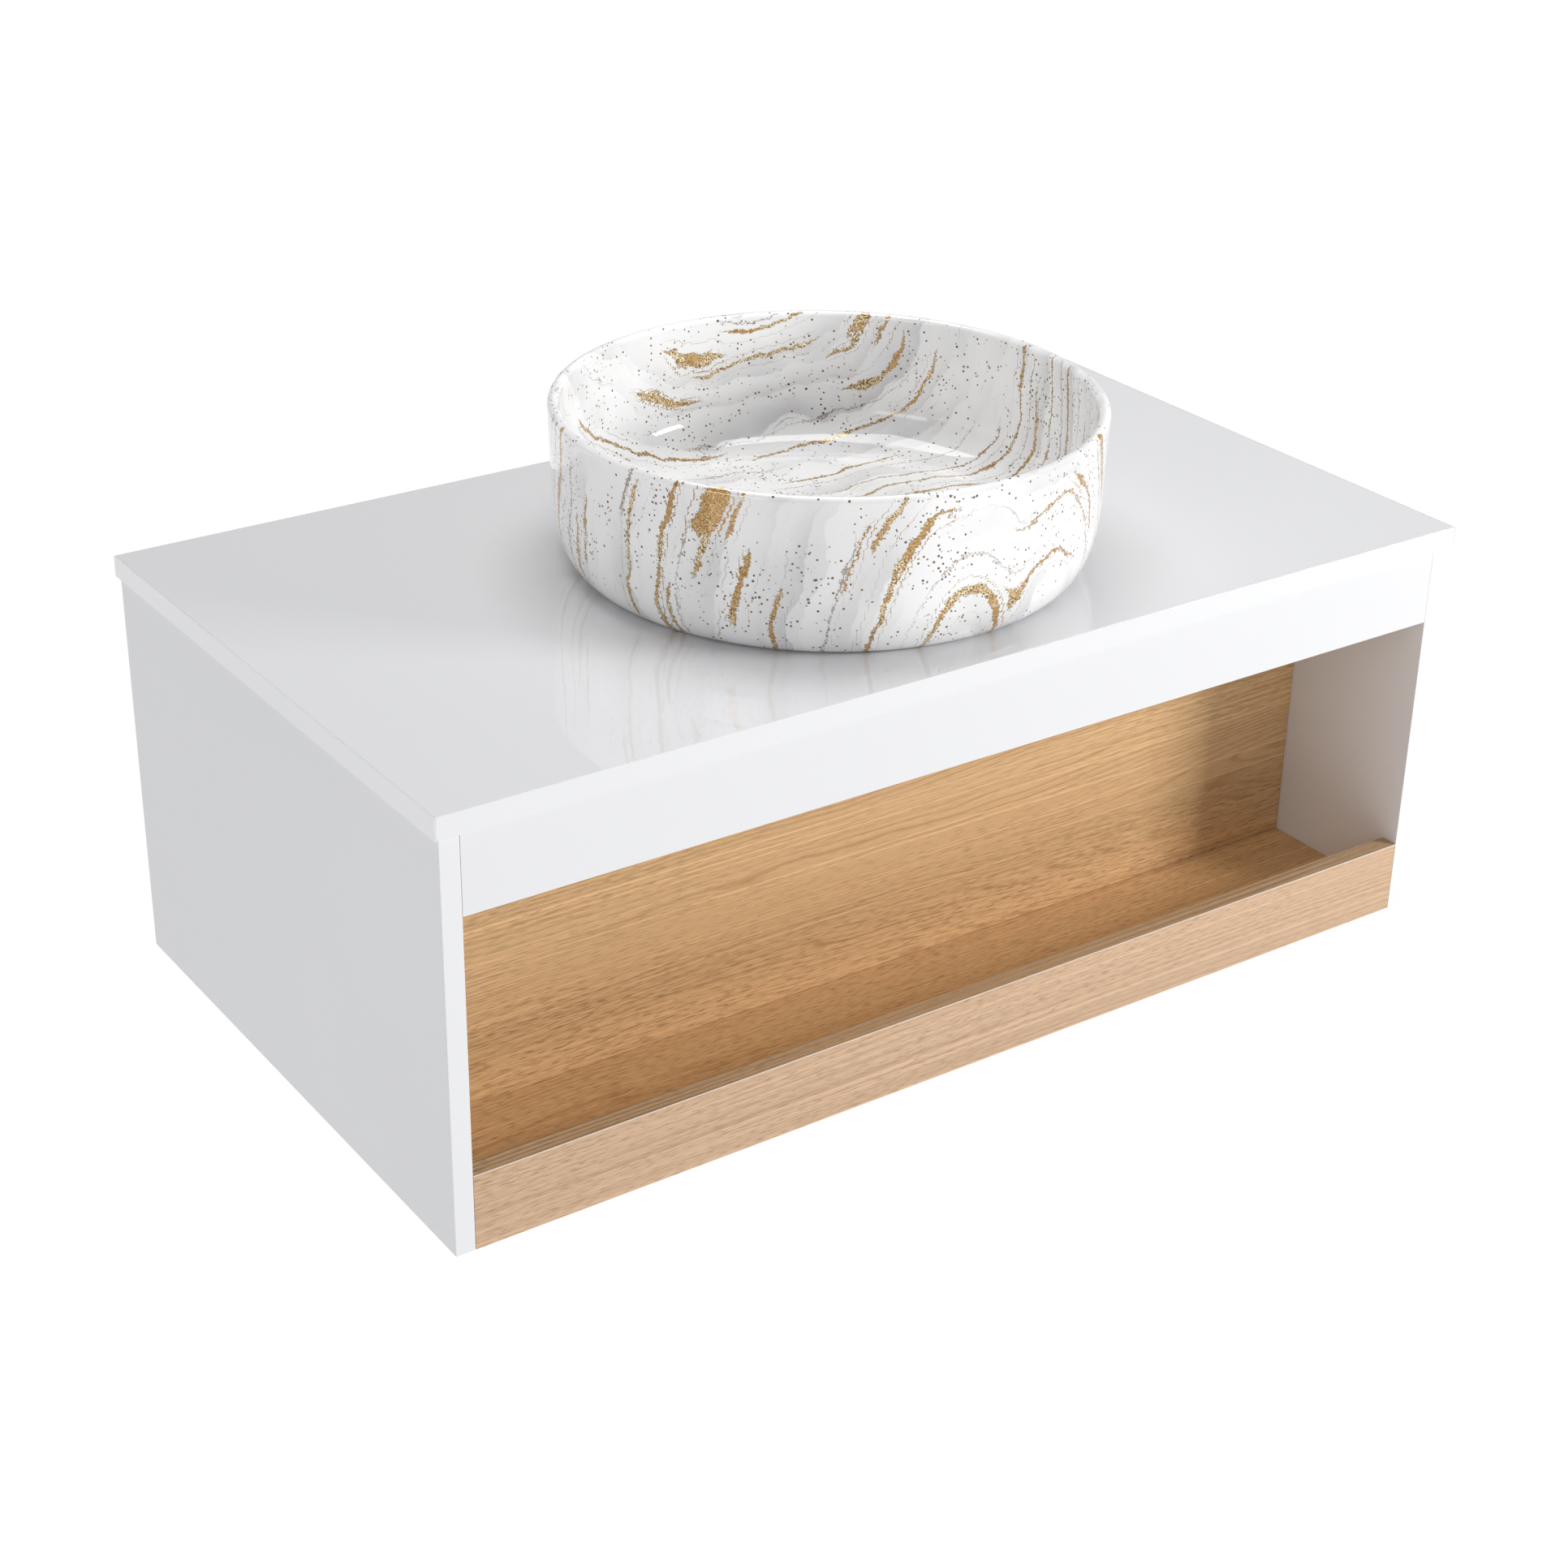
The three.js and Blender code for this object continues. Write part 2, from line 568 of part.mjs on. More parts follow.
function trapCup() {
  const { head, cup } = TRAP;
  const collar = { bore: head + CLEARANCE, radius: cup + 3, low: headBottom - 18, high: headBottom + 7 };
  return turned([
    [0, cupFloor], [20, cupFloor], [27, cupFloor + 3], [cup - 2, cupFloor + 10], [cup, collar.low - 2],
    [collar.radius, collar.low], [collar.radius, collar.high], [collar.bore, collar.high],
    [collar.bore, headBottom - 1], [head - 2, headBottom - 1], [cup - 5, cupFloor + 12],
    [18, cupFloor + 4], [0, cupFloor + 4],
  ], ROUND);
}

function outletPipe() {
  const length = wall - pipeStart;
  return cut(
    rod("y", [0, pipeStart, outlet], length, TRAP.tube, ROUND),
    rod("y", [0, pipeStart - 1, outlet], length + 2, tubeBore, ROUND),
  );
}

function wallFlange() {
  const { front, back, depth } = WALL_FLANGE;
  return cut(
    new THREE.CylinderGeometry(back, front, depth, ROUND).translate(0, wall - depth / 2, outlet),
    rod("y", [0, wall - depth - 1, outlet], depth + 2, TRAP.tube + CLEARANCE, ROUND),
  );
}

const inletNut = couplingNut(INLET_NUT, TRAP.tube + CLEARANCE, WASTE.tube + CLEARANCE);
const outletNut = couplingNut(OUTLET_NUT, spout.radius + CLEARANCE, TRAP.tube + CLEARANCE);
inletNut.translate(0, 0, tubeTop);
outletNut.rotateX(-Math.PI / 2).translate(0, spout.end, outlet);

add(trap, "trap_inlet_nut", inletNut, whitePlastic);
add(trap, "trap_inlet_tube", inletTube(), whitePlastic);
add(trap, "trap_head", trapHead(), whitePlastic);
add(trap, "trap_cup", trapCup(), whitePlastic);
add(trap, "trap_outlet_nut", outletNut, whitePlastic);
add(trap, "trap_outlet_pipe", outletPipe(), whitePlastic);
add(trap, "trap_wall_flange", wallFlange(), chrome);

export default vanity;
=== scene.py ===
"""Looks for a wall-hung washstand: a white gloss cabinet with an oak niche and a marbled vessel basin.

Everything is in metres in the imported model's frame: +X right, +Y into the wall, +Z up, origin on the
wall plane at the centre of the hanging rail.
"""

import json
import math

import bmesh
import bpy
import numpy as np
from mathutils import Matrix, Vector, noise

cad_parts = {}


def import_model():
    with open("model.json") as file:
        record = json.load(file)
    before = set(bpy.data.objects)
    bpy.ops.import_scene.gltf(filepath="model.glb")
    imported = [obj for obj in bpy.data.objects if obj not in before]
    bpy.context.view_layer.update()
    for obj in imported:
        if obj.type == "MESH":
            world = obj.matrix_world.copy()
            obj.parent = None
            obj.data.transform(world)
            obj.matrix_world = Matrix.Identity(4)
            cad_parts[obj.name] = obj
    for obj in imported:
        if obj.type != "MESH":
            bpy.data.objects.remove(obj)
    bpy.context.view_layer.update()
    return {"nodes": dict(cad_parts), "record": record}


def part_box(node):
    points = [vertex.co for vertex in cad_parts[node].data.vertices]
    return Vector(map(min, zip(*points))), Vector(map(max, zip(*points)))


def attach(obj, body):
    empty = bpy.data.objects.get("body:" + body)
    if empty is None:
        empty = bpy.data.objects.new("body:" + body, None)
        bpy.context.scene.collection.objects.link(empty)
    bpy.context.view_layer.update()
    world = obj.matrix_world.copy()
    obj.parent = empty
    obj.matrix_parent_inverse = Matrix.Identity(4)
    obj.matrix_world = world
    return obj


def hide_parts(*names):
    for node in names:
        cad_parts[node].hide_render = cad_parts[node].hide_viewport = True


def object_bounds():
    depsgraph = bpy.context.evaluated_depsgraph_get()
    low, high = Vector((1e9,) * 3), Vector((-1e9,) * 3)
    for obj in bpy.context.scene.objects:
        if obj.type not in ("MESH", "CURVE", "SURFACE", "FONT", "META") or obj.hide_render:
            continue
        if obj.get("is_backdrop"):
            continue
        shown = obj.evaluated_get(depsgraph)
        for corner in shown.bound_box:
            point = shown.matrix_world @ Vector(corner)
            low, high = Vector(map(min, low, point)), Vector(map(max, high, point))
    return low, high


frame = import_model()

MM = 0.001
BODY_OF = {node: body for body, nodes in frame["record"]["behaviour"]["bodies"].items() for node in nodes}
SLOT_OF = {row["node"]: row["material_slot"] for row in frame["record"]["subparts"]}

# ---- Node helpers ---------------------------------------------------------------------------------


class Nodes:
    """Short way to write a material's node tree."""

    def __init__(self, name):
        self.material = bpy.data.materials.new(name)
        self.material.use_nodes = True
        self.tree = self.material.node_tree
        self.shader = self.tree.nodes["Principled BSDF"]

    def set(self, **values):
        """Sets the shader's own sockets, written with _ for a space."""
        for name, value in values.items():
            self.shader.inputs[name.replace("_", " ")].default_value = value

    def node(self, kind, inputs=None, **settings):
        made = self.tree.nodes.new("ShaderNode" + kind)
        for name, value in settings.items():
            setattr(made, name, value)
        for key, value in (inputs or {}).items():
            self.feed(made.inputs[key], value)
        return made

    def feed(self, socket, value):
        if isinstance(value, bpy.types.NodeSocket):
            self.tree.links.new(value, socket)
        else:
            socket.default_value = value

    def to_shader(self, name, value):
        self.feed(self.shader.inputs[name], value)

    def math(self, operation, a, b=0.0):
        return self.node("Math", {0: a, 1: b}, operation=operation).outputs[0]

    def mix(self, factor, a, b):
        """Colour a where factor is 0 and colour b where it is 1."""
        made = self.node("Mix", data_type="RGBA")
        for index, value in ((0, factor), (6, a), (7, b)):
            self.feed(made.inputs[index], value)
        return made.outputs[2]

    def ramp(self, value, *stops):
        """A colour ramp from (position, colour) stops."""
        made = self.node("ValToRGB", {0: value})
        elements = made.color_ramp.elements
        while len(elements) < len(stops):
            elements.new(1.0)
        for element, (position, colour) in zip(elements, stops):
            element.position = position
            element.color = colour
        return made.outputs[0]

    def remap(self, value, low, high, to_low=0.0, to_high=1.0):
        """The value from low to high turned into one from to_low to to_high, and held there beyond them."""
        inputs = {0: value, 1: low, 2: high, 3: to_low, 4: to_high}
        return self.node("MapRange", inputs, clamp=True).outputs[0]

    def noise(self, vector, scale, detail=2.0, roughness=0.5):
        inputs = {"Vector": vector, "Scale": scale, "Detail": detail, "Roughness": roughness}
        return self.node("TexNoise", inputs).outputs["Fac"]

    def stretch(self, vector, scale, location=(0, 0, 0)):
        return self.node("Mapping", {"Vector": vector, "Scale": scale, "Location": location}).outputs[0]

    def where(self):
        return self.node("TexCoord").outputs["Object"]

    def attribute(self, name):
        return self.node("Attribute", attribute_name=name).outputs["Fac"]

    def bump(self, height, strength, distance):
        made = self.node("Bump", {"Height": height, "Strength": strength, "Distance": distance})
        self.to_shader("Normal", made.outputs[0])


def grey(value):
    return (value, value, value, 1.0)


def scaled(colour, factor):
    return (*(min(1.0, c * factor) for c in colour[:3]), 1.0)


# ---- Materials ------------------------------------------------------------------------------------


def white_gloss():
    """High-gloss white lacquer with a faint long-wave ripple."""
    n = Nodes("white_gloss")
    n.set(Roughness=0.025, IOR=1.95)
    where = n.where()
    tone = n.noise(where, 3.0)
    n.to_shader("Base Color", n.mix(tone, (0.765, 0.768, 0.785, 1), (0.79, 0.793, 0.807, 1)))
    n.bump(n.noise(where, 14.0), 0.008, 0.001)
    return n.material


def white_satin(name, roughness, white):
    """Satin white laminate or edge band, in the given white."""
    n = Nodes(name)
    n.set(Roughness=roughness, IOR=1.5)
    where = n.where()
    tone = n.noise(where, 6.0)
    n.to_shader("Base Color", n.mix(tone, scaled(white, 0.965), (*white, 1)))
    n.bump(n.noise(where, 900.0, 1.0), 0.03, 0.0003)
    return n.material


def oak(name, light, dark, wave=1.0, depth=1.0, place=(0, 0, 0), pale_front=None):
    """Oak laminate, grain along X: thin growth lines that bend into arcs, pale streaks and short open pores.

    wave says how far the lines bend, depth how dark they are, and place picks another part of the pattern.
    pale_front is the Y of a glued band's front, along which a thin pale edge is painted: partly the band's
    glue line, partly a painted highlight of its rounded edge.
    """
    n = Nodes(name)
    n.set(Roughness=0.5, IOR=1.42)
    where = n.stretch(n.where(), (1, 1, 1), place)
    apart = n.node("SeparateXYZ", {0: where}).outputs
    across = n.math("ADD", apart[1], apart[2])

    def rings(per_metre, arcs, ripples):
        """Growth rings that never break: 0 at a ring's dark edge, up to 1 at its pale side."""
        arc = n.math("MULTIPLY", n.noise(n.stretch(where, (1.6, 13.0, 13.0)), 1.0, 1.0), arcs * wave)
        ripple = n.math("MULTIPLY", n.noise(n.stretch(where, (13.0, 45.0, 45.0)), 1.0, 1.0), ripples * wave)
        count = n.math("ADD", n.math("MULTIPLY", across, per_metre), n.math("ADD", arc, ripple))
        return n.math("FRACT", count)

    def shown(scale, low, high):
        return n.remap(n.noise(n.stretch(where, (1.8, scale, scale)), 1.0, 1.0), low, high)

    figure = n.noise(n.stretch(where, (0.7, 24.0, 24.0)), 1.0, 2.0, 0.6)
    base = n.ramp(figure, (0.30, scaled(light, 0.94)), (0.52, light), (0.72, scaled(light, 1.07)))
    edges = ((0.0, grey(1.0)), (0.12, grey(0.9)), (0.26, grey(0.22)), (0.6, grey(0.0)), (0.88, grey(0.12)),
             (1.0, grey(1.0)))
    coarse = n.math("MULTIPLY", n.ramp(rings(210.0, 26.0, 1.5), *edges), shown(50.0, 0.36, 0.60))
    fine = n.math("MULTIPLY", n.ramp(rings(430.0, 40.0, 2.2), *edges), shown(90.0, 0.34, 0.62))
    ringed = n.mix(n.math("MULTIPLY", coarse, 0.55 * depth), base, dark)
    lined = n.mix(n.math("MULTIPLY", fine, 0.42 * depth), ringed, dark)
    pale = n.noise(n.stretch(where, (1.2, 420.0, 420.0)), 1.0, 1.0)
    streaked = n.mix(n.remap(pale, 0.55, 0.72, 0.0, 0.8 * depth), lined, scaled(light, 1.28))
    slant = n.node("Mapping", {"Vector": where, "Rotation": (0, math.radians(4), 0),
                               "Scale": (110.0, 1250.0, 1250.0)}).outputs[0]
    dashes = n.noise(slant, 1.0, 0.0)
    porous = n.remap(n.noise(n.stretch(where, (1.2, 9.0, 9.0)), 1.0), 0.42, 0.60, 0.35, 1.0)
    pores = n.math("MULTIPLY", n.remap(dashes, 0.58, 0.72, 0.0, 0.6), porous)
    pored = n.mix(pores, streaked, scaled(dark, 0.75))
    lustre = n.math("MULTIPLY", n.remap(dashes, 0.28, 0.42, 0.35, 0.0), porous)
    colour = n.mix(lustre, pored, scaled(light, 1.22))
    # Painted highlight: a thin pale edge along the band's front, partly its glue line, partly a painted
    # highlight of the rounded edge.
    if pale_front is not None:
        depth_in = n.node("SeparateXYZ", {0: n.where()}).outputs[1]
        edge = n.remap(depth_in, pale_front, pale_front + 0.5 * MM, 0.85, 0.0)
        colour = n.mix(edge, colour, (0.80, 0.74, 0.68, 1))
    n.to_shader("Base Color", colour)
    n.bump(n.math("MULTIPLY", dashes, -1.0), 0.10, 0.0003)
    return n.material


def plain(name, colour, roughness, metallic=0.0, grain=600.0, relief=0.04):
    """A moulded, plated or pressed finish with a fine surface texture."""
    n = Nodes(name)
    n.set(Metallic=metallic, IOR=1.5)
    where = n.where()
    tone = n.noise(where, 30.0, 3.0)
    n.to_shader("Base Color", n.mix(tone, scaled(colour, 0.93), (*colour, 1)))
    n.to_shader("Roughness", n.remap(tone, 0.3, 0.7, roughness * 0.85, roughness * 1.15))
    n.bump(n.noise(where, grain), relief, 0.0004)
    return n.material


def marbled_ceramic():
    """White glaze over a print of soft grey bands, glittering gold veins and brown specks.

    The mesh carries the flow of the print: "flow" counts millimetres across the veins, "vein" is the
    distance to the nearest gold vein and "vein_width" its half width, and "hair" and "hair_width" are
    the same for the thin brown ones.
    """
    n = Nodes("glazed_ceramic")
    n.set(Roughness=0.03, IOR=1.52, Coat_Weight=0.3, Coat_Roughness=0.02)
    where = n.where()
    flow = n.attribute("flow")
    slow = n.noise(where, 14.0, 3.0)
    quick = n.noise(where, 80.0, 3.0, 0.6)
    ripple = n.noise(where, 300.0, 2.0, 0.7)
    crumble = n.noise(where, 850.0, 2.0, 0.6)
    wandering = n.math("ADD", n.math("MULTIPLY", slow, 42.0), n.math("MULTIPLY", quick, 8.0))
    drift = n.math("ADD", flow, wandering)

    def bands(period, start, low, high):
        """Soft grey bands with one crisp ragged edge, where the noise lets them show."""
        shifted = n.math("ADD", n.math("ADD", drift, start), n.math("MULTIPLY", ripple, 2.0))
        phase = n.math("FRACT", n.math("DIVIDE", shifted, period))
        tone = n.ramp(phase, (0.0, grey(1.0)), (0.16, grey(0.72)), (0.42, grey(0.30)), (0.75, grey(0.0)),
                      (0.965, grey(0.1)), (1.0, grey(1.0)))
        shown = n.remap(n.noise(n.stretch(where, (1, 1, 1), (start, 0, 0)), 11.0, 2.0), low, high)
        return n.math("MULTIPLY", tone, shown)

    white = n.mix(n.noise(where, 5.0), (0.93, 0.93, 0.935, 1), (0.955, 0.952, 0.948, 1))
    colour = n.mix(n.math("MULTIPLY", bands(53.0, 3.0, 0.38, 0.60), 0.44), white, (0.43, 0.43, 0.445, 1))
    colour = n.mix(n.math("MULTIPLY", bands(31.0, 9.0, 0.44, 0.68), 0.32), colour, (0.47, 0.45, 0.44, 1))
    fine = n.math("ABSOLUTE", n.math("SUBTRACT", n.math("FRACT", n.math("DIVIDE", drift, 37.0)), 0.5))
    thread = n.math("MULTIPLY", n.remap(fine, 0.0, 0.02, 0.6, 0.0),
                    n.remap(n.noise(where, 19.0, 2.0), 0.56, 0.66))
    colour = n.mix(thread, colour, (0.33, 0.30, 0.29, 1))

    def centred(value, amount):
        return n.math("MULTIPLY", n.math("SUBTRACT", value, 0.5), amount)

    wobble = n.math("ADD", n.math("ADD", centred(quick, 6.0), centred(ripple, 6.0)), centred(crumble, 4.4))

    def vein(distance, width, swell):
        """How far inside a vein's edge a point is, in mm."""
        away = n.math("ABSOLUTE", n.math("ADD", n.attribute(distance), wobble))
        half = n.math("MULTIPLY", n.attribute(width), n.remap(slow, 0.35, 0.65, 1.0 - swell, 1.0 + swell))
        return n.math("SUBTRACT", half, away)

    hair = n.remap(vein("hair", "hair_width", 0.5), -0.1, 0.2)
    colour = n.mix(n.math("MULTIPLY", hair, 0.8), colour, (0.22, 0.15, 0.095, 1))
    inside = vein("vein", "vein_width", 0.35)
    gold = n.remap(inside, -0.05, 0.15)
    leaf = n.ramp(n.noise(where, 820.0, 1.0, 0.7),
                  (0.36, (0.12, 0.06, 0.012, 1)), (0.45, (0.42, 0.22, 0.045, 1)),
                  (0.53, (0.74, 0.55, 0.23, 1)), (0.62, (1.0, 0.95, 0.76, 1)))
    rich = n.mix(0.62, leaf, (0.47, 0.225, 0.03, 1))
    pale = n.remap(n.noise(where, 26.0, 2.0), 0.44, 0.56)
    edge = n.remap(inside, 0.3, 0.8, 0.7, 0.0)
    tinted = n.mix(edge, n.mix(pale, rich, leaf), (0.25, 0.145, 0.05, 1))
    colour = n.mix(gold, colour, tinted)

    cells = n.node("TexVoronoi", {"Vector": where, "Scale": 300.0}, feature="F1")
    lottery = n.node("SeparateColor", {0: cells.outputs["Color"]}).outputs
    odds = n.remap(n.noise(where, 15.0, 3.0), 0.36, 0.60, 0.97, 0.32)
    drawn = n.math("GREATER_THAN", lottery[0], odds)
    size = n.remap(lottery[1], 0.0, 1.0, 0.15, 0.33)
    dot = n.remap(n.math("SUBTRACT", size, cells.outputs["Distance"]), -0.01, 0.02)
    speck = n.math("MULTIPLY", n.math("MULTIPLY", dot, drawn), n.remap(inside, -1.2, -0.6, 1.0, 0.0))
    colour = n.mix(speck, colour, n.mix(lottery[2], (0.07, 0.048, 0.035, 1), (0.26, 0.16, 0.065, 1)))
    n.to_shader("Base Color", colour)
    n.to_shader("Metallic", n.math("MULTIPLY", gold, 0.25))
    n.bump(n.noise(where, 30.0), 0.008, 0.001)
    return n.material


MATERIALS = {
    "white_gloss": white_gloss(),
    "white_edge": white_satin("white_edge", 0.22, (0.83, 0.833, 0.848)),
    "oak_laminate": oak("oak_laminate", (0.75, 0.495, 0.255, 1), (0.44, 0.235, 0.095, 1)),
    "glazed_ceramic": marbled_ceramic(),
    "chrome": plain("chrome", (0.78, 0.79, 0.80), 0.06, 1.0, 80.0, 0.01),
    "zinc_steel": plain("zinc_steel", (0.56, 0.57, 0.58), 0.32, 1.0),
    "white_plastic": plain("white_plastic", (0.80, 0.80, 0.78), 0.38),
    "black_rubber": plain("black_rubber", (0.02, 0.02, 0.021), 0.7),
}
PALE_OAK = oak("oak_lip", (0.605, 0.412, 0.267, 1), (0.41, 0.24, 0.13, 1), 0.5, 0.9, (0.3, 0.2, 0.1))
BANDED_OAK = oak("oak_band", (0.58, 0.40, 0.24, 1), (0.22, 0.135, 0.07, 1), 0.3, 1.4, (0.7, 0.1, 0.4),
                 pale_front=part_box("lip_top_band")[0].y)
SATIN = white_satin("white_satin", 0.42, (0.75, 0.755, 0.775))
OWN_MATERIAL = {
    "niche_front_lip": PALE_OAK,
    "lip_top_band": BANDED_OAK,
    "left_side_panel": SATIN,
    "right_side_panel": SATIN,
}

# ---- Pieces ---------------------------------------------------------------------------------------

SMALL_ROUNDING = 0.3 * MM
ROUNDING = {"white_gloss": 0.5 * MM, "oak_laminate": 0.4 * MM}
FACETS = 28  # sides of a turned CAD node
FACET_CUTS = 3  # how many lines split each of those sides


def present(name, mesh, node):
    """Shows a mesh in place of a CAD node, on that node's body and with its finish."""
    piece = bpy.data.objects.new(name, mesh)
    bpy.context.scene.collection.objects.link(piece)
    mesh.materials.clear()
    mesh.materials.append(OWN_MATERIAL.get(node) or MATERIALS[SLOT_OF[node]])
    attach(piece, BODY_OF[node])
    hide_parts(node)


def rounded(mesh, width):
    """The mesh with its sharp edges rounded and its flat faces kept flat."""
    helper = bpy.data.objects.new("rounding", mesh)
    bpy.context.scene.collection.objects.link(helper)
    for face in mesh.polygons:
        face.use_smooth = True
    bevel = helper.modifiers.new("bevel", "BEVEL")
    bevel.width = width
    bevel.segments = 3
    bevel.limit_method = "ANGLE"
    bevel.angle_limit = math.radians(35)
    bevel.miter_outer = "MITER_ARC"
    flat_faces = helper.modifiers.new("flat_faces", "WEIGHTED_NORMAL")
    flat_faces.mode = "FACE_AREA"
    flat_faces.weight = 100
    depsgraph = bpy.context.evaluated_depsgraph_get()
    result = bpy.data.meshes.new_from_object(helper.evaluated_get(depsgraph))
    bpy.data.objects.remove(helper)
    return result


def softened(node, width):
    """A CAD node's shape with its edges rounded."""
    mesh = frame["nodes"][node].data.copy()
    work = bmesh.new()
    work.from_mesh(mesh)
    bmesh.ops.remove_doubles(work, verts=work.verts, dist=1e-6)
    bmesh.ops.dissolve_limit(work, angle_limit=math.radians(0.4), verts=work.verts, edges=work.edges)
    work.to_mesh(mesh)
    work.free()
    present(node + "_piece", rounded(mesh, width), node)


def rounder(node, centre, turn):
    """A turned CAD node's shape with more sides: each facet is split lengthways and pushed out round.

    turn brings the node's axis upright.
    """
    to_axis = turn @ Matrix.Translation(-Vector(centre))
    step = 2 * math.pi / FACETS
    work = bmesh.new()
    work.from_mesh(frame["nodes"][node].data)
    bmesh.ops.remove_doubles(work, verts=work.verts, dist=1e-6)
    bmesh.ops.transform(work, matrix=to_axis, verts=work.verts)
    for facet in range(FACETS // 2):
        for cut in range(1, FACET_CUTS + 1):
            angle = (facet + cut / (FACET_CUTS + 1)) * step
            normal = (-math.sin(angle), math.cos(angle), 0)
            geometry = [*work.verts, *work.edges, *work.faces]
            bmesh.ops.bisect_plane(work, geom=geometry, dist=1e-8, plane_co=(0, 0, 0), plane_no=normal)
    for point in work.verts:
        inside_facet = math.atan2(point.co.y, point.co.x) % step - step / 2
        push = math.cos(inside_facet) / math.cos(step / 2)
        point.co.x *= push
        point.co.y *= push
    bmesh.ops.transform(work, matrix=to_axis.inverted(), verts=work.verts)
    mesh = bpy.data.meshes.new(node + "_round")
    work.to_mesh(mesh)
    work.free()
    present(node + "_piece", rounded(mesh, SMALL_ROUNDING), node)


def revolve(profile, centre):
    """The mesh of a closed (radius, height) profile in mm, turned round the upright line at centre."""
    work = bmesh.new()
    turns = [2 * math.pi * i / TURNS for i in range(TURNS)]
    rings = [[work.verts.new((r * MM * math.cos(t), r * MM * math.sin(t), z * MM)) for t in turns]
             for r, z in profile]
    for lower, upper in zip(rings, rings[1:] + rings[:1]):
        for i in range(TURNS):
            j = (i + 1) % TURNS
            work.faces.new([lower[i], lower[j], upper[j], upper[i]])
    bmesh.ops.transform(work, matrix=Matrix.Translation(centre), verts=work.verts)
    bmesh.ops.recalc_face_normals(work, faces=work.faces)
    mesh = bpy.data.meshes.new("turned")
    work.to_mesh(mesh)
    work.free()
    for face in mesh.polygons:
        face.use_smooth = True
    return mesh


def arc(cx, cz, rx, rz, start, end, steps):
    """Points of an elliptical arc between two angles in degrees."""
    turns = [math.radians(start + (end - start) * i / steps) for i in range(steps + 1)]
    return [(cx + rx * math.cos(t), cz + rz * math.sin(t)) for t in turns]


# ---- Basin ----------------------------------------------------------------------------------------

BASIN_LOW, BASIN_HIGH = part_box("vessel_basin")
BASIN_MIDDLE = (BASIN_LOW + BASIN_HIGH) / 2
BASIN_FOOT = Vector((BASIN_MIDDLE.x, BASIN_MIDDLE.y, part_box("countertop")[1].z))
RIM_RADIUS = (BASIN_HIGH.x - BASIN_LOW.x) / 2 / MM
BASIN_HEIGHT = (BASIN_HIGH.z - BASIN_FOOT.z) / MM
WAIST = RIM_RADIUS - 2.1  # outer radius of the wall below the rim, in mm like all that follow
FOOT_RADIUS = RIM_RADIUS - 26.0
WALL = 8.5
CORNER = 54.0  # height of the curve from the foot into the wall
GLAZE_GAP = 0.25  # between the foot and the countertop
HOLE = 22.5  # radius of the waste hole
FLOOR_UNDER = 5.0
FLOOR_TOP = 12.0
FLOOR_REACH = 158.0  # radius where the floor's slope meets the inner curve
FLOOR_EDGE = 18.0  # height where they meet
TURNS = 576
STEP = 1.7  # length of a face along the profile


def subdivided(points):
    """The same profile with no stretch longer than STEP."""
    fine = []
    for (r0, z0), (r1, z1) in zip(points, points[1:]):
        count = max(1, math.ceil(math.hypot(r1 - r0, z1 - z0) / STEP))
        fine += [(r0 + (r1 - r0) * i / count, z0 + (z1 - z0) * i / count) for i in range(count)]
    return fine + [points[-1]]


def basin_profiles():
    """The outside from the hole's lower edge to the rim, and the inside from the rim to the hole."""
    rim = WALL / 2
    foot_ring = FOOT_RADIUS - 26
    outside = [(HOLE, FLOOR_UNDER), (foot_ring - 6, FLOOR_UNDER), (foot_ring - 2.5, FLOOR_UNDER - 0.8)]
    outside += [(foot_ring, GLAZE_GAP)]
    outside += arc(FOOT_RADIUS, CORNER + GLAZE_GAP, WAIST - FOOT_RADIUS, CORNER, -90, 0, 34)
    outside += arc(RIM_RADIUS - rim, BASIN_HEIGHT - rim, rim, rim, 0, 90, 9)
    inner = WAIST - WALL
    inside = arc(RIM_RADIUS - rim, BASIN_HEIGHT - rim, rim, rim, 90, 180, 9)
    inside += arc(FLOOR_REACH, CORNER, inner - FLOOR_REACH, CORNER - FLOOR_EDGE, 0, -90, 34)
    inside += [(36, FLOOR_TOP + 2.6), (34, FLOOR_TOP + 2), (33, FLOOR_TOP + 0.6), (32, FLOOR_TOP)]
    inside += [(HOLE, FLOOR_TOP)]
    return subdivided(outside), subdivided(inside)


PRINT_FRONT = math.radians(-125.8)  # the direction, seen from above, that the print's arches face


def window(value, low, high, fade):
    """1 between low and high, falling smoothly to 0 over fade outside them."""
    rise = np.clip((value - low + fade) / fade, 0, 1)
    fall = np.clip((high - value + fade) / fade, 0, 1)
    both = np.minimum(rise, fall)
    return both * both * (3 - 2 * both)


BOTTOM = -9  # a height below the basin's foot, in mm
TOP = 130  # a height above its rim
